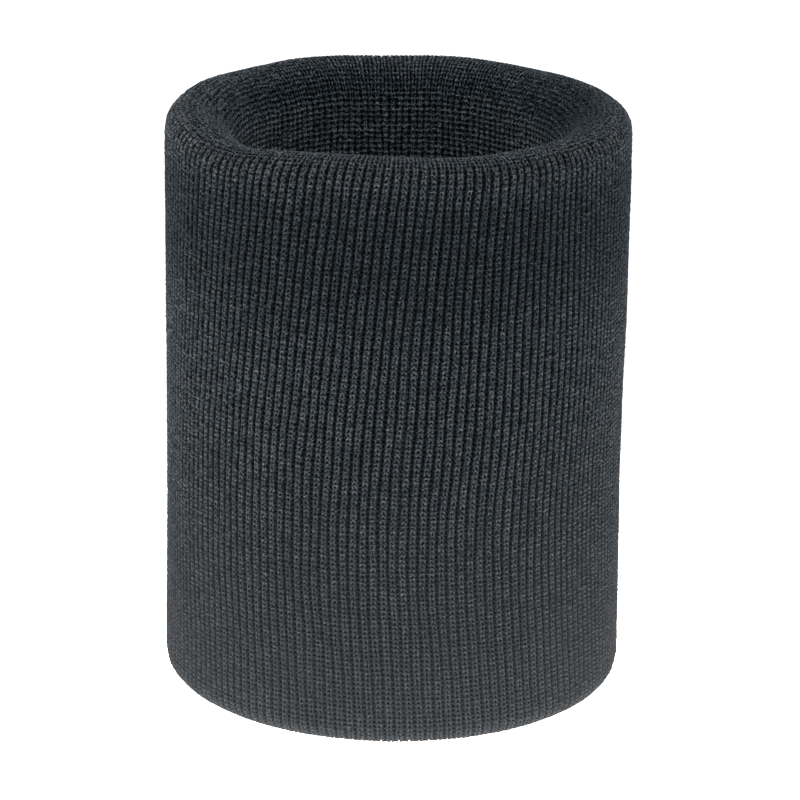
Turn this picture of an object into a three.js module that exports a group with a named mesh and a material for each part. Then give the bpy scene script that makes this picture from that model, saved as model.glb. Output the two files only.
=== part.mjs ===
// Sweat wristband: a circular-knitted tube with looped pile on its back, folded
// double so that the pile is inside the wall, its two ends linked together in a
// seam half way down the inner face, with a covered elastane yarn laid into both
// layers.
//
// Frame: millimetres, +Z up along the band's axis. The origin is the middle of the
// ring that the band stands on, at its bottom edge.
import * as THREE from "three";

// Driving dimensions.
const HEIGHT = 76.4; // edge to edge along the arm
const R_OUT = 30.0; // outer face of the band, relaxed
const R_IN = 20.9; // inner face, relaxed: the wrist stretches it
const FACE = 1.2; // thickness of the knitted face
const PILE_IN = 2.2; // from a surface to the pile behind its face
const LAYER_GAP = 0.3; // between the pile of the outer layer and that of the inner

// Rolled edges: width, height and squareness of each quarter. The crest is nearer
// the outer face than the inner one.
const TOP_OUT = { a: 3.6, h: 3.2, n: 2.55 };
const TOP_IN = { a: R_OUT - R_IN - 3.6, h: 6.2, n: 1.85 };
const FOOT = 1.6; // width of the flat that the band stands on
const BOT_OUT = { a: 3.0, h: 3.05, n: 2.36 };
const BOT_IN = { a: R_OUT - R_IN - FOOT - 3.0, h: 6.0, n: 1.95 };

// Linking seam, half way down the inner face.
const SEAM_Z = 38.2;
const SEAM_H = 2.2; // height of the row of linked loops
const SEAM_PROUD = 0.25; // how far the linked row stands into the bore
const WELT_DEPTH = 2.2; // the two raw ends behind it, turned into the wall
const WELT_H = 2.8;

// Elastane yarn: one strand per layer, wound as a helix with the courses.
const YARN = 0.25; // half width of the covered yarn
const OUTER_TURNS = 7;
const INNER_TURNS = 3;
const YARN_STEPS = 24; // per turn

const SEGMENTS = 48;

const zTopOut = HEIGHT - TOP_OUT.h;
const zTopIn = HEIGHT - TOP_IN.h;
const rTop = R_OUT - TOP_OUT.a; // crest of the top fold
const rFootOut = R_OUT - BOT_OUT.a;
const rFootIn = rFootOut - FOOT;

const cottonFace = (color) =>
  new THREE.MeshStandardMaterial({ color, roughness: 0.95, metalness: 0 });
const cottonPile = (color) =>
  new THREE.MeshStandardMaterial({ color, roughness: 1, metalness: 0 });
const elastane = () =>
  new THREE.MeshStandardMaterial({
    color: 0x55585c,
    roughness: 0.6,
    metalness: 0,
  });
const linkingThread = new THREE.MeshStandardMaterial({
  color: 0x2b2f32,
  roughness: 0.85,
  metalness: 0,
});

const band = new THREE.Group();

// A profile in (radius, height), closed and turned about +Z. Its direction is set
// so that the faces point out.
function ring(name, profile, material) {
  let area = 0;
  profile.forEach(([r, z], i) => {
    const [r1, z1] = profile[(i + 1) % profile.length];
    area += r * z1 - r1 * z;
  });
  const run = area > 0 ? profile : [...profile].reverse();
  const points = [...run, run[0]].map(([r, z]) => new THREE.Vector2(r, z));
  const geometry = new THREE.LatheGeometry(points, SEGMENTS).rotateX(
    Math.PI / 2,
  );
  const mesh = new THREE.Mesh(geometry, material);
  mesh.name = name;
  band.add(mesh);
}

// A quarter of a superellipse about (r, z), from angle q0 to q1, in steps.
function quarter(r, z, { a, h, n }, q0, q1, steps) {
  return Array.from({ length: steps + 1 }, (_, i) => {
    const q = ((q0 + ((q1 - q0) * i) / steps) * Math.PI) / 2;
    const c = Math.cos(q);
    const s = Math.sin(q);
    return [
      r + a * Math.sign(c) * Math.abs(c) ** (2 / n),
      z + h * Math.sign(s) * Math.abs(s) ** (2 / n),
    ];
  });
}

// Moves a run of points into the wall by d, each along the mean of the normals of
// the stretches that meet there.
function inset(run, d) {
  return run.map(([r, z], i) => {
    const before = run[Math.max(i - 1, 0)];
    const after = run[Math.min(i + 1, run.length - 1)];
    const legs = [
      [r - before[0], z - before[1]],
      [after[0] - r, after[1] - z],
    ].filter(([x, y]) => Math.hypot(x, y) > 1e-9);
    let nx = 0;
    let nz = 0;
    for (const [x, y] of legs) {
      nx -= y / Math.hypot(x, y);
      nz += x / Math.hypot(x, y);
    }
    const length = Math.hypot(nx, nz);
    return [r + (d * nx) / length, z + (d * nz) / length];
  });
}

// The surface of the wall's section, from the foot of the outer face up over the
// top fold and down the inner face, and the same for the bottom fold.
const topRun = [
  ...quarter(rTop, zTopOut, TOP_OUT, 0, 1, 6),
  ...quarter(rTop, zTopIn, TOP_IN, 1, 2, 8).slice(1),
];
const bottomRun = [
  ...quarter(rFootIn, BOT_IN.h, BOT_IN, 2, 3, 7),
  ...quarter(rFootOut, BOT_OUT.h, BOT_OUT, 3, 4, 6),
];
const topBack = inset(topRun, FACE);
const bottomBack = inset(bottomRun, FACE);

// The knitted face: outer wall, two folds, and the inner wall in two runs that end
// at the seam.
const loop = (front, back) => [...front, ...[...back].reverse()];
ring(
  "outer_face",
  loop(
    [bottomRun.at(-1), topRun[0]],
    [bottomBack.at(-1), topBack[0]],
  ),
  cottonFace(0x3b4044),
);
ring(
  "top_rolled_edge",
  loop(topRun, topBack),
  cottonFace(0x3e4347),
);
ring(
  "inner_face_upper",
  loop(
    [topRun.at(-1), [R_IN, SEAM_Z + SEAM_H / 2]],
    [topBack.at(-1), [R_IN + FACE, SEAM_Z + SEAM_H / 2]],
  ),
  cottonFace(0x33383b),
);
ring(
  "inner_face_lower",
  loop(
    [[R_IN, SEAM_Z - SEAM_H / 2], bottomRun[0]],
    [[R_IN + FACE, SEAM_Z - SEAM_H / 2], bottomBack[0]],
  ),
  cottonFace(0x33383b),
);
ring(
  "bottom_rolled_edge",
  loop(bottomRun, bottomBack),
  cottonFace(0x3e4347),
);

// The looped pile on the back of the knit. It fills the two folds, and lies in two
// layers in the wall.
const pileOutR = R_OUT - PILE_IN;
const pileInR = R_IN + PILE_IN;
const pileMid = (pileOutR + pileInR) / 2;
const foldPileTop = zTopIn - 0.6;
const foldPileBottom = BOT_IN.h + 0.6;
ring(
  "top_fold_pile",
  [
    [pileOutR, foldPileTop],
    [pileOutR, zTopOut],
    [pileOutR - 0.5, HEIGHT - 2.2],
    [rTop, HEIGHT - 1.75],
    [rTop - 1.2, HEIGHT - 2.2],
    [rTop - 2.2, HEIGHT - 3.2],
    [rTop - 2.9, HEIGHT - 4.7],
    [pileInR, zTopIn],
    [pileInR, foldPileTop],
  ],
  cottonPile(0x2f3437),
);
ring(
  "bottom_fold_pile",
  [
    [pileOutR, foldPileBottom],
    [pileOutR, BOT_OUT.h],
    [pileOutR - 0.4, 2.1],
    [rFootOut, 1.7],
    [rFootIn, 1.7],
    [rFootIn - 0.9, 2.4],
    [rFootIn - 1.7, 3.6],
    [pileInR, BOT_IN.h],
    [pileInR, foldPileBottom],
  ],
  cottonPile(0x2f3437),
);

const pileZ0 = foldPileBottom + 0.3;
const pileZ1 = foldPileTop - 0.3;
function sleeve(name, rIn, rOut, z0, z1) {
  ring(
    name,
    [
      [rIn, z0],
      [rOut, z0],
      [rOut, z1],
      [rIn, z1],
    ],
    cottonPile(0x2b3033),
  );
}
const layerOut = pileMid + LAYER_GAP / 2;
const layerIn = pileMid - LAYER_GAP / 2;
const weltTop = SEAM_Z + WELT_H / 2 + 0.3;
const weltBottom = SEAM_Z - WELT_H / 2 - 0.3;
sleeve("outer_terry_pile", layerOut, pileOutR, pileZ0, pileZ1);
sleeve("inner_terry_pile_upper", pileInR, layerIn, weltTop, pileZ1);
sleeve("inner_terry_pile_lower", pileInR, layerIn, pileZ0, weltBottom);

// The linking seam: the row of linked loops seen in the bore, and behind it the two
// raw ends of the tube, turned into the wall.
ring(
  "linking_seam",
  [
    [R_IN + FACE, SEAM_Z - SEAM_H / 2],
    [R_IN + FACE, SEAM_Z + SEAM_H / 2],
    [R_IN, SEAM_Z + SEAM_H / 2],
    [R_IN - SEAM_PROUD, SEAM_Z + SEAM_H / 4],
    [R_IN - SEAM_PROUD, SEAM_Z - SEAM_H / 4],
    [R_IN, SEAM_Z - SEAM_H / 2],
  ],
  linkingThread,
);
const weltIn = R_IN + FACE;
ring(
  "selvedge_welt",
  [
    [weltIn, SEAM_Z - SEAM_H / 2],
    [weltIn + 0.5, SEAM_Z - WELT_H / 2],
    [weltIn + WELT_DEPTH - 0.5, SEAM_Z - WELT_H / 2],
    [weltIn + WELT_DEPTH, SEAM_Z],
    [weltIn + WELT_DEPTH - 0.5, SEAM_Z + WELT_H / 2],
    [weltIn + 0.5, SEAM_Z + WELT_H / 2],
    [weltIn, SEAM_Z + SEAM_H / 2],
  ],
  cottonFace(0x3b4044),
);

// Elastane yarn laid into each layer as a helix.
class Helix extends THREE.Curve {
  constructor(r, z0, z1, turns) {
    super();
    Object.assign(this, { r, z0, z1, turns });
  }
  getPoint(t, target = new THREE.Vector3()) {
    const a = 2 * Math.PI * this.turns * t;
    return target.set(
      this.r * Math.cos(a),
      this.r * Math.sin(a),
      this.z0 + (this.z1 - this.z0) * t,
    );
  }
}

function strand(name, r, z0, z1, turns) {
  const section = new THREE.Shape();
  for (let i = 0; i < 4; i++) {
    const a = (i * Math.PI) / 2;
    const x = YARN * Math.cos(a);
    const y = YARN * Math.sin(a);
    if (i) section.lineTo(x, y);
    else section.moveTo(x, y);
  }
  section.closePath();
  const geometry = new THREE.ExtrudeGeometry(section, {
    steps: Math.round(turns * YARN_STEPS),
    bevelEnabled: false,
    extrudePath: new Helix(r, z0, z1, turns),
  });
  const mesh = new THREE.Mesh(geometry, elastane());
  mesh.name = name;
  band.add(mesh);
}
const behindOuter = R_OUT - (FACE + PILE_IN) / 2 + 0.05;
const behindInner = R_IN + (FACE + PILE_IN) / 2 + 0.05;
strand("outer_elastic_yarn", behindOuter, pileZ0, pileZ1, OUTER_TURNS);
strand(
  "inner_elastic_yarn_upper",
  behindInner,
  SEAM_Z + WELT_H / 2 + 1,
  pileZ1 - 1,
  INNER_TURNS,
);
strand(
  "inner_elastic_yarn_lower",
  behindInner,
  pileZ0 + 1,
  SEAM_Z - WELT_H / 2 - 1,
  INNER_TURNS,
);

export default band;
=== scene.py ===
import math

import bpy
import numpy as np
from mathutils import Matrix, Vector


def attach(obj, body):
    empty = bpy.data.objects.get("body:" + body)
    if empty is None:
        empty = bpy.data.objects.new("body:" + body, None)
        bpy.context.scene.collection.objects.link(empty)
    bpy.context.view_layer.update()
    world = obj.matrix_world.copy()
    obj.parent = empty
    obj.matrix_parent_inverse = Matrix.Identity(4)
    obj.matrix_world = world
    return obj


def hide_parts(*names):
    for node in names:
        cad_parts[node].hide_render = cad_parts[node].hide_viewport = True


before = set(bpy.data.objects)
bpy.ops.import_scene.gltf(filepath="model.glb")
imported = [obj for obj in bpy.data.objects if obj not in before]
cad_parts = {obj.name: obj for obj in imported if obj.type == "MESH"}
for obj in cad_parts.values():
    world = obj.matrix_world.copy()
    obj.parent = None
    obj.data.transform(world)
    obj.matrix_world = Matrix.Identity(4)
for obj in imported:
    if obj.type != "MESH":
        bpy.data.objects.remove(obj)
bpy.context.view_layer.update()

MM = 0.001
rng = np.random.default_rng(530)

# ---------------------------------------------------------------- the section
HEIGHT = 76.4
R_OUT = 30.0
R_IN = 20.9
FACE = 1.2
TOP_OUT = (3.6, 3.2, 2.55)        # width, height, squareness
TOP_IN = (R_OUT - R_IN - 3.6, 6.2, 1.85)
FOOT = 1.6
BOT_OUT = (3.0, 3.05, 2.36)
BOT_IN = (R_OUT - R_IN - FOOT - 3.0, 6.0, 1.95)
SEAM_Z, SEAM_H = 38.2, 2.2
R_TOP = R_OUT - TOP_OUT[0]
R_FOOT = R_OUT - BOT_OUT[0]

NW = 162          # wales round the band
COLS = 8          # columns of vertices to a wale


def quarter(r, z, shape, q0, q1, n=160):
    a, h, e = shape
    q = np.linspace(q0, q1, n) * math.pi / 2
    c, s = np.cos(q), np.sin(q)
    return np.c_[
        r + a * np.sign(c) * np.abs(c) ** (2 / e),
        z + h * np.sign(s) * np.abs(s) ** (2 / e),
    ]


def line(p, q, n=200):
    return np.linspace(p, q, n)


section = np.concatenate([
    line((R_IN, SEAM_Z + SEAM_H / 2), (R_IN, HEIGHT - TOP_IN[1])),
    quarter(R_TOP, HEIGHT - TOP_IN[1], TOP_IN, 2, 1)[1:],
    quarter(R_TOP, HEIGHT - TOP_OUT[1], TOP_OUT, 1, 0)[1:],
    line((R_OUT, HEIGHT - TOP_OUT[1]), (R_OUT, BOT_OUT[1]), 400)[1:],
    quarter(R_FOOT, BOT_OUT[1], BOT_OUT, 4, 3)[1:],
    line((R_FOOT, 0), (R_FOOT - FOOT, 0), 20)[1:],
    quarter(R_FOOT - FOOT, BOT_IN[1], BOT_IN, 3, 2)[1:],
    line((R_IN, BOT_IN[1]), (R_IN, SEAM_Z - SEAM_H / 2))[1:],
])
step = np.r_[0, np.cumsum(np.hypot(*np.diff(section, axis=0).T))]
S_END = step[-1]
# even steps along the curve, lightly smoothed so that the normals turn evenly
fine = np.linspace(0, S_END, 6001)
curve = np.c_[np.interp(fine, step, section[:, 0]), np.interp(fine, step, section[:, 1])]
pad = 60
kern = np.hanning(41); kern /= kern.sum()
def smooth(v):
    w = np.pad(v, (pad, pad), mode="reflect", reflect_type="odd")
    return np.convolve(w, kern, mode="same")[pad:-pad]
tan = np.c_[smooth(np.gradient(curve[:, 0], fine)), smooth(np.gradient(curve[:, 1], fine))]
tan /= np.hypot(*tan.T)[:, None]
I_CREST = int(np.argmax(curve[:, 1]))
S_CREST = fine[I_CREST]
S_FOOT = fine[I_CREST + 10 + int(np.argmin(curve[I_CREST + 10:, 1]))]

# which face: 0 on the outer wall, 1 on the inner wall, turning over at the folds
def ramp(x, a, b):
    t = np.clip((x - a) / (b - a), 0, 1)
    return t * t * (3 - 2 * t)

inside = 1 - ramp(fine, S_CREST - 5.0, S_CREST + 4.0) + ramp(fine, S_FOOT - 1.0, S_FOOT + 7.0)
near_top = np.exp(-((fine - (S_CREST + 6)) / 9.0) ** 2)
crest = np.exp(-((fine - (S_CREST + 1.0)) / 3.2) ** 2) + np.exp(-((fine - S_FOOT) / 3.2) ** 2)
pitch = 0.635 * (1 - inside) + 0.725 * inside + 0.055 * near_top * (1 - inside) + 0.03 * crest
course = np.r_[0, np.cumsum(0.5 * (1 / pitch[1:] + 1 / pitch[:-1]) * np.diff(fine))]
T_END = course[-1]


def at_course(t):
    """Radius, height, tangent, arc length and inside share at course number t."""
    s = np.interp(t, course, fine)
    return (
        np.interp(s, fine, curve[:, 0]), np.interp(s, fine, curve[:, 1]),
        np.interp(s, fine, tan[:, 0]), np.interp(s, fine, tan[:, 1]),
        s, np.interp(s, fine, inside),
    )


T_CREST, T_FOOT = np.interp([S_CREST, S_FOOT], fine, course)
ROLL = (-12.0, -6.0, 2.0, 5.5)      # courses from the crest: the rolled edge's stitches come in and go out


def roll_share(t):
    """Share of the rolled edge's open stitches, 1 over either fold."""
    a, b, c, d = ROLL
    top = ramp(t - T_CREST, a, b) * (1 - ramp(t - T_CREST, c, d))
    foot = ramp(T_FOOT - t, a, b) * (1 - ramp(T_FOOT - t, 2.0, 7.0))
    return top + foot


def course_at(z, side):
    """The course number where the section passes height z on the outer or inner side."""
    i0, i1 = {"inner_top": (0, I_CREST), "outer": (I_CREST, int(np.searchsorted(fine, S_FOOT))),
              "inner_bottom": (int(np.searchsorted(fine, S_FOOT)), len(fine))}[side]
    k = i0 + int(np.argmin(np.abs(curve[i0:i1, 1] - z)))
    return course[k]


# ---------------------------------------------------------------- a stitch
# Each loop shows as an arch: two legs that meet at its head and spread to its
# feet, which pass behind the head of the loop below. Its left and right legs are
# the same, so the height is a function of |a|, the place across the wale. The
# first number of each pair holds on the outer face, the second in the bore.
WALE = (1.22, 0.83, 1.10)         # mm from wale to wale
COURSE = (0.645, 0.700, 0.680)    # mm from course to course
YARN = (0.142, 0.120, 0.122)      # mm, half the yarn's thickness
HEAD = (0.075, 0.100, 0.175)      # of a wale, from the middle to the leg at the head
FEET = (0.302, 0.235, 0.310)      # of a wale, from the middle to the leg at the foot
DROP = (0.18, 0.17, 0.08)         # mm, how far the foot lies behind the head
LEG = 1.22                        # courses, head to foot
BOW = 0.8                         # under 1 rounds the arch
FLANK = 0.95
LINK = (0.110, 0.150, 0.135)      # mm, half the thickness of the yarn that crosses to the next wale
LINK_LOW = (-0.28, -0.03, -0.05)  # mm, its depth
LINK_AT = 0.92                    # of a course
FLOOR = (-0.50, -0.36, -0.38)     # mm, the bottom of the hole between wales


def stitch_height(a, b, kind):
    """Depth in mm below the band's surface at (a, b): a from -0.5 to 0.5 across the wale, b from 0 to 1 up the course. kind is 0 outside, 1 in the bore, 2 on the rolled edges."""
    mix = lambda p: p[kind]
    wale_mm, course_mm, r, head, feet, drop, floor = map(mix, (WALE, COURSE, YARN, HEAD, FEET, DROP, FLOOR))
    link, link_low = mix(LINK), mix(LINK_LOW)
    a = np.abs(a) + 0 * b
    best = np.full(a.shape, floor, float)
    for n in (-1, 0, 1):
        s = np.clip((n + 1 - b) / LEG, 0, 1)
        x = head + (feet - head) * s ** BOW
        dy = (b - (n + 1) + LEG * s) * course_mm
        dx = (a - x) * wale_mm * FLANK
        d = np.sqrt(dx * dx + dy * dy)
        z = -drop * s ** 1.3
        top = z + np.sqrt(np.maximum(r * r - d * d, 0)) - r
        best = np.maximum(best, np.where(d < r, top, z - r - (d - r) * 4))
    # the yarn that crosses to the next wale, behind the legs
    d = np.abs(np.mod(b - LINK_AT + 0.5, 1) - 0.5) * course_mm
    cross = link_low + np.sqrt(np.maximum(link * link - d * d, 0)) - link
    cross = np.where(d < link, cross, link_low - link - (d - link) * 4)
    return np.where(a > 0.24, np.maximum(best, cross), best)


# ---------------------------------------------------------------- the lean and the lie of the wales
# Lean of the ribs round the front, as the turn in radians per mm of height, by
# angle from the front and height. Elsewhere it wanders gently.
LEAN_PHI = np.radians([-180, -120, -75, -50, -30, -12, 0, 14, 28, 42, 60, 90, 130])
LEAN_Z = np.array([0.0, 6.0, 18.0, 27.0, 36.0, 45.0, 56.0, 66.0, 77.0])
LEAN = 0.033 * np.array([
    # -180   -120    -75    -50    -30    -12      0     14     28     42     60     90    130
    [0.02,  -0.01,  0.02,  0.00, -0.02, -0.04, -0.05, -0.07, -0.09, -0.10, -0.08, -0.03, 0.01],
    [0.02,  -0.01,  0.02, -0.01, -0.03, -0.05, -0.05, -0.07, -0.09, -0.10, -0.08, -0.03, 0.01],
    [0.01,  -0.01, -0.02, -0.06, -0.07, -0.07, -0.07, -0.08, -0.08, -0.07, -0.05, -0.02, 0.01],
    [-0.01,  0.01,  0.00, -0.01,  0.00,  0.00, -0.01,  0.00,  0.00, -0.01, -0.02, -0.01, 0.00],
    [-0.02,  0.02,  0.02,  0.01,  0.03,  0.05,  0.07,  0.10,  0.10,  0.06,  0.04,  0.01, -0.01],
    [-0.01,  0.03,  0.07,  0.11,  0.12,  0.10,  0.05,  0.04,  0.04,  0.05,  0.05,  0.01, -0.01],
    [0.01,   0.02,  0.06,  0.09,  0.10,  0.10,  0.08,  0.04,  0.02,  0.00, -0.02, -0.01, 0.00],
    [0.02,   0.00,  0.05,  0.11,  0.13,  0.11,  0.10,  0.07,  0.05,  0.02, -0.03, -0.03, 0.00],
    [0.02,   0.00,  0.04,  0.12,  0.14,  0.13,  0.11,  0.09,  0.06,  0.03, -0.02, -0.03, 0.00],
])


def turn_table():
    """The ribs' turn from the mid height, on an even grid of angle and height."""
    phi = np.radians(np.arange(-180, 181, 3))
    z = np.linspace(-1, 78, 159)
    knots = np.r_[LEAN_PHI, LEAN_PHI[0] + 2 * math.pi]
    rows = np.array([np.interp(phi, knots, np.r_[row, row[0]]) for row in LEAN])
    k = np.hanning(15); k /= k.sum()
    rows = np.array([np.convolve(np.r_[row[-8:-1], row, row[1:8]], k, mode="same")[7:-7] for row in rows])
    g = np.array([np.interp(z, LEAN_Z, rows[:, i]) for i in range(len(phi))])
    k = np.hanning(17); k /= k.sum()
    g = np.array([np.convolve(np.pad(v, 9, mode="edge"), k, mode="same")[9:-9] for v in g])
    turn = np.cumsum(g, axis=1) * (z[1] - z[0])
    turn -= turn[:, [int(np.argmin(np.abs(z - 24)))]]
    return phi, z, turn


TURN_PHI, TURN_Z, TURN = turn_table()


def bilinear(phi, z):
    i = (np.mod(phi + math.pi, 2 * math.pi)) / (TURN_PHI[1] - TURN_PHI[0])
    j = np.clip((z - TURN_Z[0]) / (TURN_Z[1] - TURN_Z[0]), 0, len(TURN_Z) - 1.001)
    i = np.clip(i, 0, len(TURN_PHI) - 1.001)
    i0, j0 = i.astype(int), j.astype(int)
    fi, fj = i - i0, j - j0
    T = TURN
    return (T[i0, j0] * (1 - fi) * (1 - fj) + T[i0 + 1, j0] * fi * (1 - fj)
            + T[i0, j0 + 1] * (1 - fi) * fj + T[i0 + 1, j0 + 1] * fi * fj)


def waves(n, seed, ku, kt):
    """A sum of sines round the band and along the tube, for slow unevenness; whole periods round the band."""
    g = np.random.default_rng(seed)
    m = g.integers(ku[0], ku[1] + 1, n) * g.choice([-1, 1], n)
    f = g.uniform(kt[0], kt[1], n)
    p = g.uniform(0, 2 * math.pi, n)
    w = g.uniform(0.5, 1, n); w /= np.sqrt((w ** 2).sum() / 2)
    return lambda phi, s: sum(w[i] * np.sin(m[i] * phi + f[i] * s + p[i]) for i in range(n))


drift = waves(9, 11, (2, 7), (0.01, 0.05))
wander = waves(14, 12, (8, 40), (0.05, 0.5))
lump = waves(10, 13, (2, 9), (0.02, 0.14))
squeeze = waves(12, 14, (6, 30), (0.1, 0.6))

wale_shift = rng.normal(0, 0.035, NW)                     # in wales: uneven needle spacing
wale_proud = rng.normal(0, 0.020, NW)                     # in mm
N_COURSES = int(T_END) + 3
course_shift = rng.normal(0, 0.035, N_COURSES)            # in courses: uneven yarn feed
stitch_proud = rng.normal(0, 0.022, (NW, N_COURSES))      # in mm
stitch_side = rng.normal(0, 0.045, (NW, N_COURSES))       # in wales
stitch_lift = rng.normal(0, 0.035, (NW, N_COURSES))       # in mm, along the tube
wale_lift = rng.normal(0, 0.06, NW)                       # in mm, along the tube


def bump_at(phi, centre, width):
    d = np.mod(phi - centre + math.pi, 2 * math.pi) - math.pi
    return np.exp(-(d / width) ** 2)


def body_shape(phi, r, z, s):
    """The band's own unevenness: the rim dips at the front left, the right side is drawn in a little, and the wall is not quite round."""
    up = ramp(z, 52, 74)
    dz = up * (-0.85 * bump_at(phi, math.radians(-50), 0.32) + 0.42 * bump_at(phi, math.radians(-8), 0.26)
               + 0.10 * lump(phi, 0 * s))
    dz = dz * np.where(z > 50, 1, 0)
    dr = -0.30 * bump_at(phi, math.radians(90), 0.8) * np.exp(-((z - 30) / 16) ** 2)
    dr = dr - 0.10 * bump_at(phi, math.radians(-90), 0.8) * np.exp(-((z - 30) / 20) ** 2)
    dr = dr + 0.045 * lump(phi, s) - 0.05
    return r + dr, z + dz


PRESET = {}


def tables(rows):
    """Stitch heights at the vertices' places in a wale and a course, outside and inside."""
    if rows not in PRESET:
        a = (np.arange(COLS) / COLS)[:, None] - 0.5
        b = (np.arange(rows) / rows)[None, :]
        PRESET[rows] = [stitch_height(a, b, kind) for kind in range(3)]
    return PRESET[rows]


def knit_grid(t0, t1, rows):
    """Vertices of the knit from course t0 to t1: positions in mm, (u, t) and depth. t runs from the seam up the inner face and down the outer."""
    k0, k1 = int(math.ceil(t0 * rows - 1e-6)), int(math.floor(t1 * rows + 1e-6))
    k = np.arange(k0, k1 + 1)
    t = k / rows
    j = np.arange(NW * COLS)
    u = j / COLS
    wale = (j // COLS) % NW
    cell = np.floor(t + 1e-9).astype(int)
    # b runs up the outer face, which is against t
    b_index = (-k) % rows
    out, inn, roll = tables(rows)
    A = (j % COLS)
    r, z, tr, tz, s, w = at_course(t)
    ends = ramp(t - t0, 0, 2) * ramp(t1 - t, 0, 2)      # nothing slides at the piece's ends
    H_out = out[A][:, b_index]
    H_in = inn[A][:, b_index]
    H = H_out * (1 - w[None, :]) + H_in * w[None, :]
    fold = roll_share(t)[None, :]
    H = H * (1 - fold) + roll[A][:, b_index] * fold
    phi0 = (2 * math.pi / NW) * (u[:, None] + 0 * t[None, :])
    phi0 = phi0 + math.pi / NW
    P = phi0
    S = s[None, :] + 0 * P
    Z = z[None, :] + 0 * P
    R = r[None, :] + 0 * P
    jit = 1 - 0.5 * w[None, :]
    frac = (t - cell)[None, :]
    # smooth per-stitch values along the wale
    def along(table):
        c0 = np.clip(cell, 0, N_COURSES - 2)
        f = frac * frac * (3 - 2 * frac)
        return table[wale][:, c0] * (1 - f) + table[wale][:, c0 + 1] * f
    edge = np.cos(2 * math.pi * (u - np.floor(u) - 0.5))[:, None] * 0.5 + 0.5   # 1 mid wale, 0 at its edges
    # a blend of the two neighbouring wales' shifts, so that the grid never folds
    fu = u - np.floor(u)
    left = (wale - 1) % NW
    right = (wale + 1) % NW
    def across(v):
        return np.where(fu < 0.5, v[wale] * (0.5 + fu) + v[left] * (0.5 - fu), v[wale] * (1.5 - fu) + v[right] * (fu - 0.5))
    sideways = across(wale_shift)[:, None] + along(stitch_side) * edge
    dphi = (2 * math.pi / NW) * (sideways + 0.035 * wander(P, S) * (1 + 1.6 * w[None, :])) + 0.0012 * drift(P, S) + 0.045 * np.sin(2 * P)
    P = P + dphi + bilinear(P, Z)
    H = H + (along(stitch_proud) * edge + across(wale_proud)[:, None] * edge) * jit
    H = H + 0.02 * squeeze(P, S) * edge
    R, Z = body_shape(P, R, Z, S)
    slide = (along(stitch_lift) + across(wale_lift)[:, None]) * ends[None, :]
    R = R - tz[None, :] * H + tr[None, :] * slide
    Z = Z + tr[None, :] * H + tz[None, :] * slide
    X, Y = R * np.sin(P), -R * np.cos(P)
    return np.stack([X, Y, Z], -1), u, t, H, P, w


def back_grid(t0, t1, rows, every):
    k0, k1 = int(math.ceil(t0 * rows - 1e-6)), int(math.floor(t1 * rows + 1e-6))
    ks = np.unique(np.r_[np.arange(k0, k1, every), k1])
    return ks


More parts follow.
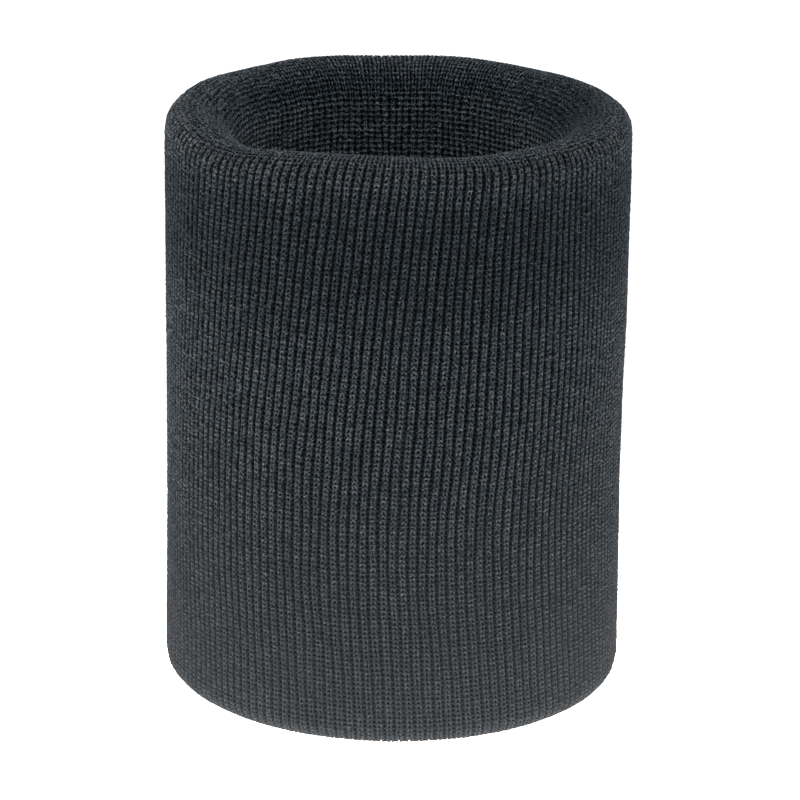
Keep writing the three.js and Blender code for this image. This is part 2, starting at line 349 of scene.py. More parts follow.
def knit_piece(name, t0, t1, rows, every):
    pos, u, t, H, P, w = knit_grid(t0, t1, rows)
    nu, nt = pos.shape[:2]
    keep = back_grid(t0, t1, rows, every) - int(math.ceil(t0 * rows - 1e-6))
    # the back of the face: the same section, FACE further in
    r, z, tr, tz, s, w0 = at_course(t[keep])
    Pb = P[:, keep]
    Rb, Zb = body_shape(Pb, r[None, :] + 0 * Pb, z[None, :] + 0 * Pb, s[None, :] + 0 * Pb)
    Rb = Rb + tz[None, :] * (FACE - 0.1)
    Zb = Zb - tr[None, :] * (FACE - 0.1)
    back = np.stack([Rb * np.sin(Pb), -Rb * np.cos(Pb), Zb], -1)
    nb = len(keep)
    verts = np.concatenate([pos.reshape(-1, 3), back.reshape(-1, 3)]) * MM
    J = np.arange(nu)
    Jn = (J + 1) % nu
    def quads(base, n, flip):
        k = np.arange(n - 1)
        a = base + J[:, None] * n + k[None, :]
        b = base + J[:, None] * n + k[None, :] + 1
        c = base + Jn[:, None] * n + k[None, :] + 1
        d = base + Jn[:, None] * n + k[None, :]
        q = np.stack([a, b, c, d] if not flip else [d, c, b, a], -1)
        return q.reshape(-1, 4)
    N0 = nu * nt
    front = quads(0, nt, False)
    rear = quads(N0, nb, True)
    start = np.stack([J * nt, Jn * nt, N0 + Jn * nb, N0 + J * nb], -1)
    end = np.stack([J * nt + nt - 1, N0 + J * nb + nb - 1, N0 + Jn * nb + nb - 1, Jn * nt + nt - 1], -1)
    faces = np.concatenate([front, rear, start, end]).astype(np.int32)
    mesh = bpy.data.meshes.new(name)
    mesh.vertices.add(len(verts))
    mesh.vertices.foreach_set("co", verts.astype(np.float32).ravel())
    mesh.loops.add(faces.size)
    mesh.loops.foreach_set("vertex_index", faces.ravel())
    mesh.polygons.add(len(faces))
    mesh.polygons.foreach_set("loop_start", np.arange(0, faces.size, 4, dtype=np.int32))
    mesh.update(calc_edges=True)
    mesh.validate()
    # sharp where the front meets the cut ends, so that the ends don't shade it
    edges = np.empty(len(mesh.edges) * 2, np.int32)
    mesh.edges.foreach_get("vertices", edges)
    edges = edges.reshape(-1, 2)
    kk = np.where(edges < N0, edges % nt, -9)
    sharp = ((kk[:, 0] == 0) & (kk[:, 1] == 0)) | ((kk[:, 0] == nt - 1) & (kk[:, 1] == nt - 1))
    att = mesh.attributes.new("sharp_edge", "BOOLEAN", "EDGE")
    att.data.foreach_set("value", sharp)
    # wale, course and face for the material; the bake's map
    U = np.repeat(u, nt); T = np.tile(t, nu)
    Ub = np.repeat(u, nb); Tb = np.tile(t[keep], nu)
    vec = np.concatenate([
        np.stack([U, T, np.tile(w, nu)], -1),
        np.stack([Ub, Tb, np.tile(w0, nu)], -1)]).astype(np.float32)
    att = mesh.attributes.new("knit", "FLOAT_VECTOR", "POINT")
    att.data.foreach_set("vector", vec.ravel())
    depth = np.concatenate([H.ravel(), np.full(nu * nb, -0.5)]).astype(np.float32)
    att = mesh.attributes.new("depth", "FLOAT", "POINT")
    att.data.foreach_set("value", depth)
    uv = mesh.uv_layers.new(name="OFBake")
    loop_v = faces.ravel()
    uu = vec[loop_v, 0].reshape(-1, 4)
    tt = vec[loop_v, 1].reshape(-1, 4)
    wrap = uu.max(1) - uu.min(1) > NW / 2
    uu[wrap] = np.where(uu[wrap] < 1, uu[wrap] + NW, uu[wrap])
    lo, hi = t[0], t[-1]
    vv = (tt - lo) / (hi - lo)
    uvs = np.stack([uu / NW * 0.998 + 0.001, 0.04 + 0.955 * vv], -1)
    is_back = np.zeros(len(faces), bool); is_back[len(front):] = True
    uvs[is_back, :, 1] = 0.002 + 0.03 * vv[is_back]
    uv.data.foreach_set("uv", uvs.astype(np.float32).ravel())
    smooth_on = np.ones(len(faces), bool)
    mesh.polygons.foreach_set("use_smooth", smooth_on)
    mesh.update()
    obj = bpy.data.objects.new(name, mesh)
    bpy.context.scene.collection.objects.link(obj)
    return obj


# ---------------------------------------------------------------- materials
class Sum:
    """A number in a node tree, so that a pattern can be written as a formula."""
    def __init__(self, tree, socket):
        self.tree, self.socket = tree, socket

    def _op(self, op, *others, clamp=False):
        n = self.tree.nodes.new("ShaderNodeMath")
        n.operation, n.use_clamp = op, clamp
        for i, v in enumerate((self, *others)):
            if isinstance(v, Sum): self.tree.links.new(v.socket, n.inputs[i])
            else: n.inputs[i].default_value = float(v)
        return Sum(self.tree, n.outputs[0])

    def __add__(self, o): return self._op("ADD", o)
    __radd__ = __add__
    def __mul__(self, o): return self._op("MULTIPLY", o)
    __rmul__ = __mul__
    def __sub__(self, o): return self._op("SUBTRACT", o)
    def __rsub__(self, o): return self._op("MULTIPLY", -1)._op("ADD", o)
    def __truediv__(self, o): return self._op("DIVIDE", o)
    def __pow__(self, o): return self._op("POWER", o)
    def floor(self): return self._op("FLOOR")
    def fract(self): return self._op("FRACT")
    def abs(self): return self._op("ABSOLUTE")
    def sin(self): return self._op("SINE")
    def sqrt(self): return self._op("SQRT")
    def max(self, o): return self._op("MAXIMUM", o)
    def min(self, o): return self._op("MINIMUM", o)
    def clip(self): return self._op("ADD", 0.0, clamp=True)
    def over(self, o): return self._op("GREATER_THAN", o)

    def ramp(self, a, b, lo=0.0, hi=1.0, smooth=True):
        n = self.tree.nodes.new("ShaderNodeMapRange")
        n.interpolation_type = "SMOOTHSTEP" if smooth else "LINEAR"
        self.tree.links.new(self.socket, n.inputs["Value"])
        for key, v in (("From Min", a), ("From Max", b), ("To Min", lo), ("To Max", hi)):
            n.inputs[key].default_value = v
        return Sum(self.tree, n.outputs[0])


def pick(f, a, b):
    """a where f is 0, b where it is 1."""
    return a + (b - a) * f


def clear(name):
    m = bpy.data.materials.new(name)
    m.use_nodes = True
    m.node_tree.nodes.clear()
    return m, m.node_tree.nodes, m.node_tree.links


def attribute(tree, name, kind="Vector"):
    n = tree.nodes.new("ShaderNodeAttribute"); n.attribute_name = name
    return n.outputs[kind]


def vector(tree, *parts):
    n = tree.nodes.new("ShaderNodeCombineXYZ")
    for i, v in enumerate(parts):
        if isinstance(v, Sum): tree.links.new(v.socket, n.inputs[i])
        else: n.inputs[i].default_value = v
    return n.outputs[0]


def noise(tree, where, scale, detail=2.0, rough=0.5):
    n = tree.nodes.new("ShaderNodeTexNoise")
    n.inputs["Scale"].default_value = scale
    n.inputs["Detail"].default_value = detail
    n.inputs["Roughness"].default_value = rough
    tree.links.new(where, n.inputs["Vector"])
    return Sum(tree, n.outputs["Fac"])


def speckle(tree, where):
    n = tree.nodes.new("ShaderNodeTexWhiteNoise"); n.noise_dimensions = "3D"
    tree.links.new(where, n.inputs["Vector"])
    return Sum(tree, n.outputs["Value"]), n.outputs["Color"]


def knit_material(name, tint):
    m, N, L = clear(name)
    tree = m.node_tree
    out = N.new("ShaderNodeOutputMaterial")
    bsdf = N.new("ShaderNodeBsdfPrincipled")
    L.new(bsdf.outputs[0], out.inputs[0])
    bsdf.inputs["Roughness"].default_value = 0.85
    bsdf.inputs["Specular IOR Level"].default_value = 0.08
    bsdf.inputs["Sheen Weight"].default_value = SHEEN
    bsdf.inputs["Sheen Roughness"].default_value = 0.5
    bsdf.inputs["Sheen Tint"].default_value = (0.86, 0.91, 1.0, 1)

    sep = N.new("ShaderNodeSeparateXYZ"); L.new(attribute(tree, "knit"), sep.inputs[0])
    u, t, w = (Sum(tree, o) for o in sep.outputs)
    relief = Sum(tree, attribute(tree, "depth", "Fac"))

    # the same arch as in the mesh, at the material's own fineness
    ra, rb, rc, rd = ROLL
    from_top = t - T_CREST
    from_foot = t * -1.0 + T_FOOT
    fold = (from_top.ramp(ra, rb) * from_top.ramp(rc, rd, 1.0, 0.0)
            + from_foot.ramp(ra, rb) * from_foot.ramp(2.0, 7.0, 1.0, 0.0))
    mix = lambda p: pick(fold, w * (p[1] - p[0]) + p[0], w * 0.0 + p[2])
    wale_mm, course_mm, r, head, feet, drop, floor = map(mix, (WALE, COURSE, YARN, HEAD, FEET, DROP, FLOOR))
    link, link_low = mix(LINK), mix(LINK_LOW)
    fine_u = u + (noise(tree, vector(tree, u * 1.7, t * 1.1, 7.0), 1.0, 0) - 0.5) * 0.34 + (noise(tree, vector(tree, u * 4.5, t * 2.6, 17.0), 1.0, 1) - 0.5) * 0.26
    fine_t = t + (noise(tree, vector(tree, u * 1.6, t * 0.9, 3.0), 1.0, 0) - 0.5) * 0.80 + (noise(tree, vector(tree, u * 4.0, t * 2.4, 13.0), 1.0, 1) - 0.5) * 0.60
    side = fine_u.fract() - 0.5
    a = side.abs()
    b = (fine_t * -1.0).fract()
    row = (fine_t * -1.0).floor()
    best = floor
    leg_s = b * 0.0
    leg_q = b * 0.0
    leg_n = row
    for n in (-1, 0, 1):
        s = ((b * -1.0 + (n + 1)) / LEG).clip()
        x = head + (feet - head) * (s ** BOW)
        dy = (b - (n + 1) + s * LEG) * course_mm
        dx = (a - x) * wale_mm * FLANK
        d = (dx * dx + dy * dy).sqrt()
        z = (s ** 1.3) * drop * -1.0
        top = z + (r * r - d * d).max(0.0).sqrt() - r
        low = z - r - (d - r) * 4.0
        inside_ = d.over(r)
        h = pick(inside_, top, low)
        won = h.over(best)
        best = best.max(h)
        leg_s = pick(won, leg_s, s)
        leg_q = pick(won, leg_q, dx / r)
        leg_n = pick(won, leg_n, row + n)
    # the yarn that crosses to the next wale
    d = ((b + (0.5 - LINK_AT)).fract() - 0.5).abs() * course_mm
    top = link_low + (link * link - d * d).max(0.0).sqrt() - link
    low = link_low - link - (d - link) * 4.0
    cross = pick(d.over(link), top, low)
    cross = pick(a.over(0.24), floor, cross)
    won = cross.over(best)
    best = best.max(cross)
    loose, _ = speckle(tree, vector(tree, (u + 0.5).floor(), (b * -1.0 + fine_t + LINK_AT).floor(), 9.0))
    leg_s = pick(won, leg_s, loose * 1.1)
    leg_q = pick(won, leg_q, side * 2.0)
    # per stitch and per wale values
    wale = fine_u.floor()
    value, colour = speckle(tree, vector(tree, wale, leg_n, 1.0))
    wale_value, _ = speckle(tree, vector(tree, wale, 5.0, 2.0))
    # fibres run along the legs, plies wind round them
    wound = (leg_s * 2.6 + leg_q * 0.55 * pick(side.over(0.0), b * 0.0 - 1.0, b * 0.0 + 1.0) + value * 5.0)
    ply = (wound * (2 * math.pi)).sin()
    fibre = noise(tree, vector(tree, u * 12.0 + leg_q * 1.6, t * 3.5 + leg_s * 4.0, value * 9.0), 1.0, 4, 0.68)
    fuzz = noise(tree, vector(tree, u * 26.0, t * 15.0, 0.0), 1.0, 3, 0.6)
    tuft = noise(tree, vector(tree, u * 5.2, t * 2.7, 21.0), 1.0, 1, 0.6)
    glint = noise(tree, vector(tree, u * 4.6, t * 2.5, 33.0), 1.0, 1, 0.6)
    place = N.new("ShaderNodeTexCoord").outputs["Object"]
    up = N.new("ShaderNodeSeparateXYZ"); L.new(place, up.inputs[0])
    height = Sum(tree, up.outputs["Z"])
    mottle = noise(tree, place, 120.0, 3)
    slow = noise(tree, place, 22.0, 2)

    # depth to light, painted shade: the heads pale, the holes and the gaps between wales painted dark
    depth = best * 0.85 + relief * 0.15
    low, high = mix(CAV_LOW), mix(CAV_HIGH)
    light = ((depth - low) / (high - low)).clip()
    # painted light: towards the foot of the band the holes are painted paler, standing in for light from the floor
    floor_bounce_fill = height.ramp(0.004, 0.044, FLOOR_BOUNCE_FILL[0], FLOOR_BOUNCE_FILL[1]) * (w * -0.85 + 1.0)
    light = floor_bounce_fill + light * (floor_bounce_fill * -1.0 + 1.0)
    # painted highlight: a band of courses round the top crest is painted brighter, as lit from above; the bore's
    # painted brightening stops there
    crest_highlight = from_top.ramp(-12.0, -7.0) * from_top.ramp(3.0, 9.0, 1.0, 0.0)
    # painted light and shade: the bore is painted brighter, and each arch's head pale and its feet darker, shaded by
    # the head of the stitch below; value and wale_value are the stitches' and wales' own uneven tone
    light = light * (leg_s * -1.20 + 1.56) * (w * 1.35 * (1.0 - crest_highlight) + 1.0) * (crest_highlight * 0.62 + 1.0) * (value * 0.44 + 0.78) * (wale_value * 0.06 + 0.97)
    light = light * (fibre * 1.0 + 0.50) * (fuzz * 0.6 + 0.70)
    grain = tuft * 5.2 - 1.60
    grain = (grain + (grain - 1.0) * w * 0.5).max(0.12)
    # painted glints: the glint term adds random bright specks to the colour
    light = light * grain * (glint.ramp(0.56, 0.74) * 0.60 + 0.94)
    # painted shade in the bore: each course is painted darker away from its heads and crossing yarns, which stand as
    # lit rows; less so on the right
    rows = ((b - 0.95) * (2 * math.pi))._op("COSINE") * 0.5 + 0.5
    right = Sum(tree, up.outputs["X"]).ramp(0.012, 0.026)
    light = light * (1.0 - w * (1.0 - rows) * (right * -0.14 + 0.34))
    # painted shadow: the turned-in part below the crest is painted darker on the right side
    light = light * (right * from_top.ramp(-17.0, -10.0) * from_top.ramp(-3.0, 3.0, 1.0, 0.0) * -0.60 + 1.0)
    # painted shade: a band just under the rolled edge, on the outer face, is painted darker
    under_rim_shade = (height.ramp(0.050, 0.062) * height.ramp(0.0685, 0.0735, 1.0, 0.0)) * (1.0 - w)
    light = light * (under_rim_shade * -0.33 + 1.0)
    # painted light from the floor: towards the foot the colour is drawn towards an even pale value
    foot_fill_light = height.ramp(0.002, 0.046, 0.70, 0.03)
    light = light * (foot_fill_light * -1.0 + 1.0) + foot_fill_light * 0.62
    # mottle and slow are the cloth's own uneven tone; the ply term is painted shade in the grooves between plies
    light = light * (mottle * 0.12 + 0.94) * (slow * 0.12 + 0.94) * (ply * 0.07 + 1.0)

    # one course of the turned-in part is a little slacker and catches the light
    slack = ((fine_t - SLACK_AT).abs() * -1.6 + 1.0).max(0.0) * (noise(tree, vector(tree, u * 0.16, 2.0, 41.0), 1.0, 1) - 0.42).max(0.0) * 6.0
    light = light * (slack + 1.0)

    hue = N.new("ShaderNodeMix"); hue.data_type = "RGBA"
    hue.inputs["A"].default_value = (0.95, 1.01, 1.01, 1)
    hue.inputs["B"].default_value = (1.05, 0.99, 1.01, 1)
    L.new(noise(tree, vector(tree, u * 0.9, t * 0.5, 11.0), 1.0, 2).socket, hue.inputs["Factor"])
    mul = N.new("ShaderNodeMix"); mul.data_type = "RGBA"; mul.blend_type = "MULTIPLY"; mul.inputs["Factor"].default_value = 1
    L.new(hue.outputs["Result"], mul.inputs["A"])
    comb = N.new("ShaderNodeCombineColor")
    for i in range(3): L.new(light.socket, comb.inputs[i])
    L.new(comb.outputs[0], mul.inputs["B"])
    # the tint is bluest where the colour is darkest and greyer where it is palest, so the painted highlights are greyer
    # too
    grey = sum(tint) / 3
    tint_by_light = N.new("ShaderNodeMix"); tint_by_light.data_type = "RGBA"
    for key, share in (("A", TINT_SPREAD[0]), ("B", TINT_SPREAD[1])):
        tint_by_light.inputs[key].default_value = tuple(grey + (v - grey) * share for v in tint) + (1,)
    L.new((light * (w * -0.60 + 1.0)).ramp(0.1, 2.3, smooth=False).socket, tint_by_light.inputs["Factor"])
    both = N.new("ShaderNodeMix"); both.data_type = "RGBA"; both.blend_type = "MULTIPLY"; both.inputs["Factor"].default_value = 1
    L.new(mul.outputs["Result"], both.inputs["A"])
    L.new(tint_by_light.outputs["Result"], both.inputs["B"])
    # painted light: the foot is tinted warmer, standing in for warm light from the floor
    foot = N.new("ShaderNodeMix"); foot.data_type = "RGBA"
    foot.inputs["A"].default_value = (1.09, 0.985, 0.95, 1)
    foot.inputs["B"].default_value = (1.0, 1.0, 1.0, 1)
    L.new(height.ramp(0.012, 0.052).socket, foot.inputs["Factor"])
    warm = N.new("ShaderNodeMix"); warm.data_type = "RGBA"; warm.blend_type = "MULTIPLY"; warm.inputs["Factor"].default_value = 1
    L.new(both.outputs["Result"], warm.inputs["A"])
    L.new(foot.outputs["Result"], warm.inputs["B"])
    L.new(warm.outputs["Result"], bsdf.inputs["Base Color"])

    bump = N.new("ShaderNodeBump"); bump.inputs["Distance"].default_value = 0.001; bump.inputs["Strength"].default_value = 0.55
    L.new((best + ply * 0.008 + fibre * 0.05 + fuzz * 0.03).socket, bump.inputs["Height"])
    L.new(bump.outputs[0], bsdf.inputs["Normal"])
    return m


SHEEN = 0.065
SLACK_AT = round(float(np.interp(67.5, curve[:I_CREST, 1], course[:I_CREST]))) + 0.5
SKY = dict(front=0.05, side=0.42, back=0.9, top=1.45)
LAMPS = dict(left=0.75, right=0.08, front=0.35)
# painted light: the floor's own glow, strongest by the band; no lamp
FLOOR_GLOW = (3.25, 0.62)           # light from the floor by the band, and further off
# painted shade: how dark the holes and gaps are painted, by depth
CAV_LOW = (-0.34, -0.17, -0.17)    # mm, the depths with none and all of the colour
CAV_HIGH = (-0.07, -0.03, -0.03)
# painted light: the holes are painted paler at the foot, as lit by the floor
FLOOR_BOUNCE_FILL = (0.36, 0.035)               # share of the colour in the holes, at the foot and above
TINT = (0.0580, 0.0765, 0.0890)
# the tint's spread follows the colour's painted light and shade
TINT_SPREAD = (1.42, 0.22)                 # how much of the tint shows in the deepest and in the palest fibres
knit_out = knit_material("knit_outside", TINT)


def floor_material():
    """A pale sweep that glows, brightest round the object: painted light from its own emission, not a lamp."""
    m, N, L = clear("studio_floor")
    out = N.new("ShaderNodeOutputMaterial")
    bsdf = N.new("ShaderNodeBsdfPrincipled")
    L.new(bsdf.outputs[0], out.inputs[0])
    bsdf.inputs["Base Color"].default_value = (0.80, 0.80, 0.81, 1)
    bsdf.inputs["Roughness"].default_value = 0.9
    bsdf.inputs["Specular IOR Level"].default_value = 0.1
    geo = N.new("ShaderNodeTexCoord")
    sep = N.new("ShaderNodeSeparateXYZ"); L.new(geo.outputs["Object"], sep.inputs[0])
    x, y, _ = (Sum(m.node_tree, o) for o in sep.outputs)
    far = (x * x + y * y).sqrt()
    glow = far.ramp(0.03, 0.115, FLOOR_GLOW[0], FLOOR_GLOW[1])
    # the painted glow is warmer near the band
    shade = N.new("ShaderNodeMix"); shade.data_type = "RGBA"
    shade.inputs["A"].default_value = (1.0, 0.90, 0.83, 1)
    shade.inputs["B"].default_value = (0.98, 0.98, 0.98, 1)
    L.new(far.ramp(0.03, 0.10).socket, shade.inputs["Factor"])
    L.new(shade.outputs["Result"], bsdf.inputs["Emission Color"])
    L.new(glow.socket, bsdf.inputs["Emission Strength"])
    return m


# ---------------------------------------------------------------- build
ROWS_OUT = 4
ROWS_IN = 4
t_split_top_in = round(course_at(HEIGHT - TOP_IN[1], "inner_top"))
t_split_top_out = round(course_at(HEIGHT - TOP_OUT[1], "outer"))
t_split_bot_out = round(course_at(BOT_OUT[1], "outer"))
t_split_bot_in = round(course_at(BOT_IN[1], "inner_bottom"))
pieces = [
    ("inner_knit_upper", 0.0, t_split_top_in, ROWS_IN, 12, ("inner_face_upper",), "knit_inside"),
    ("top_rolled_edge_knit", t_split_top_in, t_split_top_out, ROWS_OUT, 4, ("top_rolled_edge",), "knit_outside"),
    ("outer_knit", t_split_top_out, t_split_bot_out, ROWS_OUT, 40, ("outer_face",), "knit_outside"),
    ("bottom_rolled_edge_knit", t_split_bot_out, t_split_bot_in, ROWS_OUT, 4, ("bottom_rolled_edge",), "knit_outside"),
    ("inner_knit_lower", t_split_bot_in, math.floor(T_END * 4) / 4, ROWS_IN, 12, ("inner_face_lower",), "knit_inside"),
]
for name, t0, t1, rows, every, nodes, slot in pieces:
    o = knit_piece(name, t0, t1, rows, every)
    o.data.materials.append(knit_out)
    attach(o, "root")
    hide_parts(*nodes)
    print(name, t0, t1, len(o.data.polygons))

# the length of each piece along the tube, in metres; the loop below works it out and keeps nothing
def along_tube(t0, t1):
    a, b = np.interp([t0, t1], course, fine)
    return abs(b - a) * MM
for name, t0, t1, rows, every, nodes, slot in pieces:
    along_tube(t0, t1)


# ---------------------------------------------------------------- the linking seam
LOOPS = NW // 2
LOOP_MM = 2 * math.pi * R_IN / LOOPS


def chain_height(x, y):
    """Height in mm of the linking chain over the bore's wall: x in loops round the band, y in mm from its middle."""
    best = -0.16 - 0.20 * (y / 1.35) ** 2
    for n in (-1, 0, 1):
        dx = np.mod(x, 1) - 0.5 - n
        q = np.sqrt((dx / 0.74) ** 2 + (y / (0.50 + 0.10 * dx)) ** 2)
        d = np.abs(q - 1) * 0.46
        z = 0.20 - 0.17 * dx
        best = np.maximum(best, np.where(d < 0.19, z + np.sqrt(np.maximum(0.19 ** 2 - d ** 2, 0)) - 0.19, -9))
    # the last stitches of the two ends stand in a row on each side of it
    dx = (np.mod(2 * x + 0.25, 1) - 0.5) * LOOP_MM / 2
    d = np.hypot(dx * 1.15, np.abs(y) - 0.98)
    return np.maximum(best, np.where(d < 0.33, 0.02 + np.sqrt(np.maximum(0.33 ** 2 - d ** 2, 0)) - 0.33, -9))


def ring(name, nu, front_r, front_z, back_r, back_z, x, y, extra):
    """A closed ring: its visible side from the grids front_r and front_z, its back from two rows."""
    nv = front_r.shape[1]
    ang = 2 * math.pi * np.arange(nu) / nu
    def place(r, z):
        return np.stack([r * np.sin(ang)[:, None], -r * np.cos(ang)[:, None], z], -1)
    n = nv + 2
    r = np.concatenate([front_r, np.tile(back_r, (nu, 1))], 1)
    z = np.concatenate([front_z, np.tile(back_z, (nu, 1))], 1)
    verts = place(r, z).reshape(-1, 3) * MM
    J, K = np.meshgrid(np.arange(nu), np.arange(n), indexing="ij")
    Jn, Kn = (J + 1) % nu, (K + 1) % n
    faces = np.stack([J * n + K, Jn * n + K, Jn * n + Kn, J * n + Kn], -1).reshape(-1, 4)[:, ::-1].astype(np.int32)
    mesh = bpy.data.meshes.new(name)
    mesh.from_pydata([tuple(v) for v in verts], [], [tuple(int(i) for i in f) for f in faces])
    mesh.polygons.foreach_set("use_smooth", np.ones(len(faces), bool))
    att = mesh.attributes.new("knit", "FLOAT_VECTOR", "POINT")
    vec = np.zeros((nu, n, 3), np.float32)
    vec[:, :nv, 0] = x; vec[:, :nv, 1] = y; vec[:, nv:, 0] = x[:, :1]
    att.data.foreach_set("vector", vec.ravel())
    att = mesh.attributes.new("depth", "FLOAT", "POINT")
    dep = np.full((nu, n), -0.3, np.float32); dep[:, :nv] = extra
    att.data.foreach_set("value", dep.ravel())
    uv = mesh.uv_layers.new(name="OFBake")
    lv = faces.ravel()
    uu = (lv // n).reshape(-1, 4).astype(float)
    wrap = uu.max(1) - uu.min(1) > nu / 2
    uu[wrap] = np.where(uu[wrap] < 1, uu[wrap] + nu, uu[wrap])
    kk = (lv % n).reshape(-1, 4).astype(float)
    top = (kk.max(1) == n - 1) & (kk.min(1) == 0)
    kk[top] = np.where(kk[top] == 0, n, kk[top])
    uv.data.foreach_set("uv", np.stack([uu / nu * 0.998 + 0.001, kk / n * 0.99 + 0.005], -1).astype(np.float32).ravel())
    mesh.update()
    obj = bpy.data.objects.new(name, mesh)
    bpy.context.scene.collection.objects.link(obj)
    return obj


def yarn_material(name, tint):
    """Plied, slightly hairy yarn; the hollows between strands are painted dark as shade."""
    m, N, L = clear(name)
    tree = m.node_tree
    out = N.new("ShaderNodeOutputMaterial")
    bsdf = N.new("ShaderNodeBsdfPrincipled")
    L.new(bsdf.outputs[0], out.inputs[0])
    bsdf.inputs["Roughness"].default_value = 0.8
    bsdf.inputs["Specular IOR Level"].default_value = 0.12
    bsdf.inputs["Sheen Weight"].default_value = SHEEN
    bsdf.inputs["Sheen Roughness"].default_value = 0.5
    sep = N.new("ShaderNodeSeparateXYZ"); L.new(attribute(tree, "knit"), sep.inputs[0])
    x, y, _ = (Sum(tree, o) for o in sep.outputs)
    depth = Sum(tree, attribute(tree, "depth", "Fac"))
    ply = ((x * 7.0 + y * 3.2) * (2 * math.pi)).sin()
    fibre = noise(tree, vector(tree, x * 22.0, y * 9.0, 1.0), 1.0, 4, 0.65)
    tuft = noise(tree, vector(tree, x * 7.0, y * 4.0, 5.0), 1.0, 2, 0.6)
    # painted shade: darker where the chain lies deeper, and along the grooves between plies
    light = depth.ramp(-0.34, 0.10, 0.05, 1.0) * (ply * 0.14 + 1.0) * (fibre * 1.0 + 0.5) * (tuft * 2.4 - 0.2).max(0.2)
    comb = N.new("ShaderNodeCombineColor")
    for i in range(3): L.new((light * tint[i]).socket, comb.inputs[i])
    L.new(comb.outputs[0], bsdf.inputs["Base Color"])
    bump = N.new("ShaderNodeBump"); bump.inputs["Distance"].default_value = 0.001; bump.inputs["Strength"].default_value = 0.5
    L.new((ply * 0.03 + fibre * 0.06 + tuft * 0.03).socket, bump.inputs["Height"])
    L.new(bump.outputs[0], bsdf.inputs["Normal"])
    return m


nu, nv = NW * 8, 30
x = (np.arange(nu) / nu * LOOPS)[:, None] + np.zeros((1, nv))
y = np.linspace(-1.35, 1.35, nv)[None, :] + np.zeros((nu, 1))
pull = np.interp(np.arange(nu), np.arange(LOOPS + 1) * nu / LOOPS, np.r_[rng.normal(0, 0.03, LOOPS), 0])[:, None]
sway = 0.05 * waves(8, 31, (6, 30), (0, 0))(2 * math.pi * x / LOOPS, 0 * x)
h = chain_height(x + 0.04 * waves(6, 32, (5, 25), (0, 0))(2 * math.pi * x / LOOPS, 0 * x), y + sway) + pull
ends_in = ramp(np.abs(y), 1.15, 1.35)
h = h * (1 - ends_in) - 0.45 * ends_in
seam = ring("linking_seam_chain", nu, R_IN - h, SEAM_Z + y, np.array([R_IN + FACE - 0.1] * 2), np.array([SEAM_Z + 1.2, SEAM_Z - 1.2]), x, y, h)
seam.data.materials.append(yarn_material("linking_thread", tuple(1.15 * v for v in TINT)))
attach(seam, "root")
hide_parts("linking_seam")


# ---------------------------------------------------------------- inside the fold: terry loops, welt, elastic
def loop_material(name, tint, size):
    """Terry pile: close loops of soft yarn, each with its own tone, painted dark between them as shade."""
    m, N, L = clear(name)
    tree = m.node_tree
    out = N.new("ShaderNodeOutputMaterial")
    bsdf = N.new("ShaderNodeBsdfPrincipled")
    L.new(bsdf.outputs[0], out.inputs[0])
    bsdf.inputs["Roughness"].default_value = 0.92
    bsdf.inputs["Specular IOR Level"].default_value = 0.08
    bsdf.inputs["Sheen Weight"].default_value = 0.08
    bsdf.inputs["Sheen Roughness"].default_value = 0.5
    place = N.new("ShaderNodeTexCoord").outputs["Object"]
    def cells(feature, scale):
        n = N.new("ShaderNodeTexVoronoi"); n.feature = feature
        n.inputs["Scale"].default_value = scale
        L.new(place, n.inputs["Vector"])
        return n
    near = cells("F1", 1 / size)
    dist = Sum(tree, near.outputs["Distance"])
    sep = N.new("ShaderNodeSeparateColor"); L.new(near.outputs["Color"], sep.inputs[0])
    own = Sum(tree, sep.outputs[0])
    fibre = noise(tree, place, 6500.0, 3, 0.6)
    tuft = noise(tree, place, 1400.0, 2, 0.6)
    # painted shade: dark between the loops; own is each loop's own tone
    loop = ((dist * 2.0 - 0.55).abs() * -2.2 + 1.0).max(0.0)
    light = (loop * 0.7 + 0.45) * (own * 0.5 + 0.75) * (fibre * 0.9 + 0.55) * (tuft * 1.0 + 0.5)
    comb = N.new("ShaderNodeCombineColor")
    for i in range(3): L.new((light * tint[i]).socket, comb.inputs[i])
    L.new(comb.outputs[0], bsdf.inputs["Base Color"])
    bump = N.new("ShaderNodeBump"); bump.inputs["Distance"].default_value = 0.001; bump.inputs["Strength"].default_value = 0.6
    L.new((loop * 0.25 + fibre * 0.08 + own * 0.1).socket, bump.inputs["Height"])
    L.new(bump.outputs[0], bsdf.inputs["Normal"])
    return m


def cover_material(name, tint):
    """Elastic covered with wound yarn: fine turns round the thread."""
    m, N, L = clear(name)
    tree = m.node_tree
    out = N.new("ShaderNodeOutputMaterial")
    bsdf = N.new("ShaderNodeBsdfPrincipled")
    L.new(bsdf.outputs[0], out.inputs[0])
    bsdf.inputs["Roughness"].default_value = 0.55
    bsdf.inputs["Specular IOR Level"].default_value = 0.3
    place = N.new("ShaderNodeTexCoord").outputs["Object"]
    sep = N.new("ShaderNodeSeparateXYZ"); L.new(place, sep.inputs[0])
    px, py, pz = (Sum(tree, o) for o in sep.outputs)
    turn = px._op("ARCTAN2", py)
    wound = ((turn * 95.0 + pz * 9000.0).sin() * 0.5 + 0.5)
    fibre = noise(tree, place, 7000.0, 3, 0.6)
    # painted shade: darker in the grooves between the turns
    light = (wound * 0.7 + 0.4) * (fibre * 0.8 + 0.6)
    comb = N.new("ShaderNodeCombineColor")
    for i in range(3): L.new((light * tint[i]).socket, comb.inputs[i])
    L.new(comb.outputs[0], bsdf.inputs["Base Color"])
    bump = N.new("ShaderNodeBump"); bump.inputs["Distance"].default_value = 0.001; bump.inputs["Strength"].default_value = 0.4
    L.new((wound * 0.05 + fibre * 0.02).socket, bump.inputs["Height"])
    L.new(bump.outputs[0], bsdf.inputs["Normal"])
    return m


pile_mat = loop_material("looped_pile", tuple(0.95 * v for v in TINT), 0.0011)
welt_mat = loop_material("welt_knit", tuple(1.05 * v for v in TINT), 0.0008)
cover_mat = cover_material("covered_elastic", tuple(0.9 * v for v in TINT))


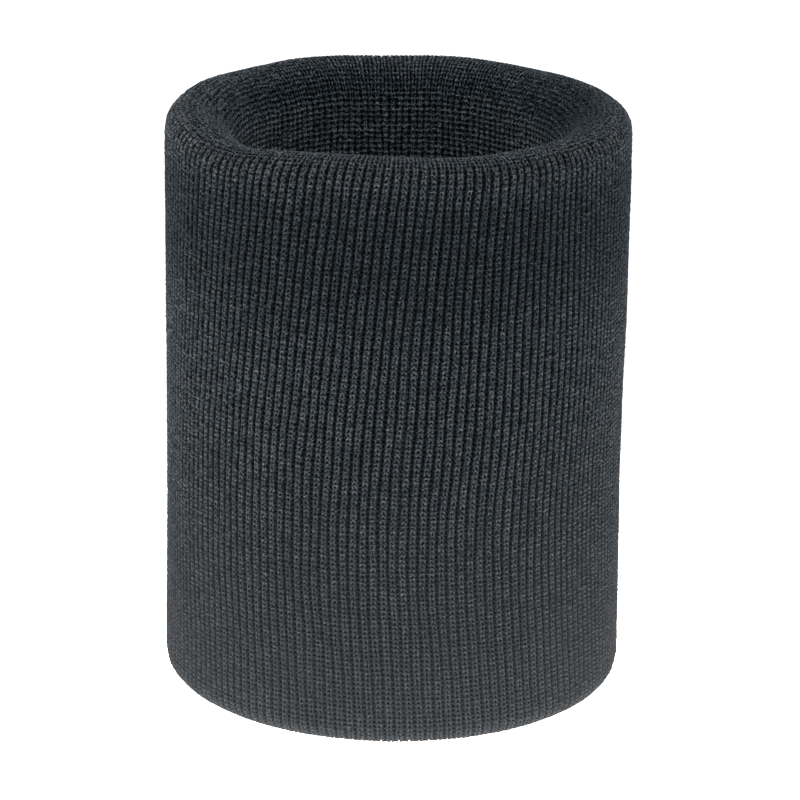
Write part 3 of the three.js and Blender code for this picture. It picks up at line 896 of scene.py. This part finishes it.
def loops_from(node_name, name, material, voxel, sink, seed):
    """A looped piece in the space of a CAD ring: remeshed finely and pressed into tufts, inwards only."""
    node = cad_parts[node_name]
    tmp = bpy.data.objects.new(name, node.data.copy())
    tmp.matrix_world = node.matrix_world.copy()
    bpy.context.scene.collection.objects.link(tmp)
    bpy.context.view_layer.update()
    mod = tmp.modifiers.new("even", "REMESH"); mod.mode = "VOXEL"; mod.voxel_size = voxel / tmp.matrix_world.to_scale()[0]
    mod.use_smooth_shade = True
    dg = bpy.context.evaluated_depsgraph_get()
    mesh = bpy.data.meshes.new_from_object(tmp.evaluated_get(dg))
    mesh.transform(tmp.matrix_world)
    tmp.modifiers.clear()
    tmp.data = mesh
    tmp.matrix_world = Matrix.Identity(4)
    n = len(mesh.vertices)
    co = np.empty(n * 3, np.float32); mesh.vertices.foreach_get("co", co); co = co.reshape(-1, 3)
    no = np.empty(n * 3, np.float32); mesh.vertices.foreach_get("normal", no); no = no.reshape(-1, 3)
    g = np.random.default_rng(seed)
    k = g.normal(size=(24, 3)); k /= np.linalg.norm(k, axis=1)[:, None]
    k *= (2 * math.pi / g.uniform(0.0017, 0.0034, 24))[:, None]
    lumps = sum(np.sin(co @ k[i] + g.uniform(0, 6.28)) for i in range(24)) / math.sqrt(12)
    co = co - no * (sink * (0.62 - 0.30 * np.clip(lumps, -2, 1.2)))[:, None]
    mesh.vertices.foreach_set("co", co.astype(np.float32).ravel())
    mesh.materials.clear(); mesh.materials.append(material)
    mesh.polygons.foreach_set("use_smooth", np.ones(len(mesh.polygons), bool))
    mesh.update()
    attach(tmp, "root")
    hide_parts(node_name)
    return tmp


for i, node_name in enumerate(("outer_terry_pile", "inner_terry_pile_upper", "inner_terry_pile_lower", "top_fold_pile", "bottom_fold_pile")):
    loops_from(node_name, node_name + "_loops", pile_mat, 0.0008, 0.00022, 70 + i)
loops_from("selvedge_welt", "selvedge_welt_knit", welt_mat, 0.0005, 0.00010, 90)
for node_name in ("outer_elastic_yarn", "inner_elastic_yarn_upper", "inner_elastic_yarn_lower"):
    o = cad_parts[node_name]
    for i in range(len(o.material_slots)):
        o.material_slots[i].material = cover_mat

# ---------------------------------------------------------------- stage, lights, camera
bpy.ops.mesh.primitive_plane_add(size=6, location=(0, 0, 0))
floor = bpy.context.object
floor.name = "studio_floor"
floor.data.materials.append(floor_material())

scene = bpy.context.scene
world = bpy.data.worlds.new("studio"); scene.world = world
world.use_nodes = True
wt = world.node_tree
back_ = wt.nodes["Background"]
co = wt.nodes.new("ShaderNodeTexCoord")
sp = wt.nodes.new("ShaderNodeSeparateXYZ"); wt.links.new(co.outputs["Generated"], sp.inputs[0])
wx, wy, wz = (Sum(wt, o) for o in sp.outputs)
# a white cyclorama, bright at the sides and behind, dim where the camera stands
sky = wx.abs().ramp(0.50, 0.98, SKY["front"], SKY["side"]) * (wx * -0.22 + 0.83)
sky = pick(wy.ramp(-0.1, 0.7), sky, wy * 0.0 + SKY["back"])
sky = pick(wz.ramp(0.70, 0.97), sky, wz * 0.0 + SKY["top"])
wt.links.new(sky.socket, back_.inputs[1])
tone = wt.nodes.new("ShaderNodeMix"); tone.data_type = "RGBA"
tone.inputs["A"].default_value = (0.96, 0.98, 1.0, 1)
tone.inputs["B"].default_value = (1.0, 0.84, 0.78, 1)
wt.links.new((wx.abs().ramp(0.50, 0.98) * wz.ramp(0.40, 0.75, 1.0, 0.0)).socket, tone.inputs["Factor"])
wt.links.new(tone.outputs["Result"], back_.inputs[0])


def area(name, at, look, size, power, color=(1, 1, 1)):
    light = bpy.data.lights.new(name, "AREA")
    light.shape = "RECTANGLE"; light.size, light.size_y = size
    light.energy = power; light.color = color
    o = bpy.data.objects.new(name, light)
    scene.collection.objects.link(o)
    o.location = at
    o.rotation_euler = (Vector(look) - Vector(at)).to_track_quat("-Z", "Y").to_euler()
    return o


area("left_soft", (-0.75, -0.15, 0.13), (0, 0, 0.04), (0.4, 0.22), LAMPS["left"], (1.0, 0.86, 0.79))
area("right_soft", (0.75, -0.10, 0.30), (0, 0, 0.04), (0.4, 0.7), LAMPS["right"], (1.0, 0.86, 0.80))
area("front_soft", (-0.25, -0.9, 0.55), (0, 0, 0.04), (0.5, 0.5), LAMPS["front"])
scene.view_settings.view_transform = "Standard"

cam_data = bpy.data.cameras.new("camera")
cam = bpy.data.objects.new("camera", cam_data)
scene.collection.objects.link(cam)
ELEV, DIST, TARGET = math.radians(18.34), 0.5641, Vector((0, 0, 0.03815))
cam.location = TARGET + DIST * Vector((0, -math.cos(ELEV), math.sin(ELEV)))
look = (TARGET - cam.location).to_track_quat("-Z", "Y").to_matrix()
cam.rotation_euler = (look @ Matrix.Rotation(0.014, 3, "Z")).to_euler()
cam_data.sensor_width = 36.0
cam_data.lens = 4315.6 / 800 * 36.0
cam_data.shift_x = 4.87 / 800
cam_data.shift_y = -10.9 / 800
cam_data.clip_start = 0.01
scene.camera = cam
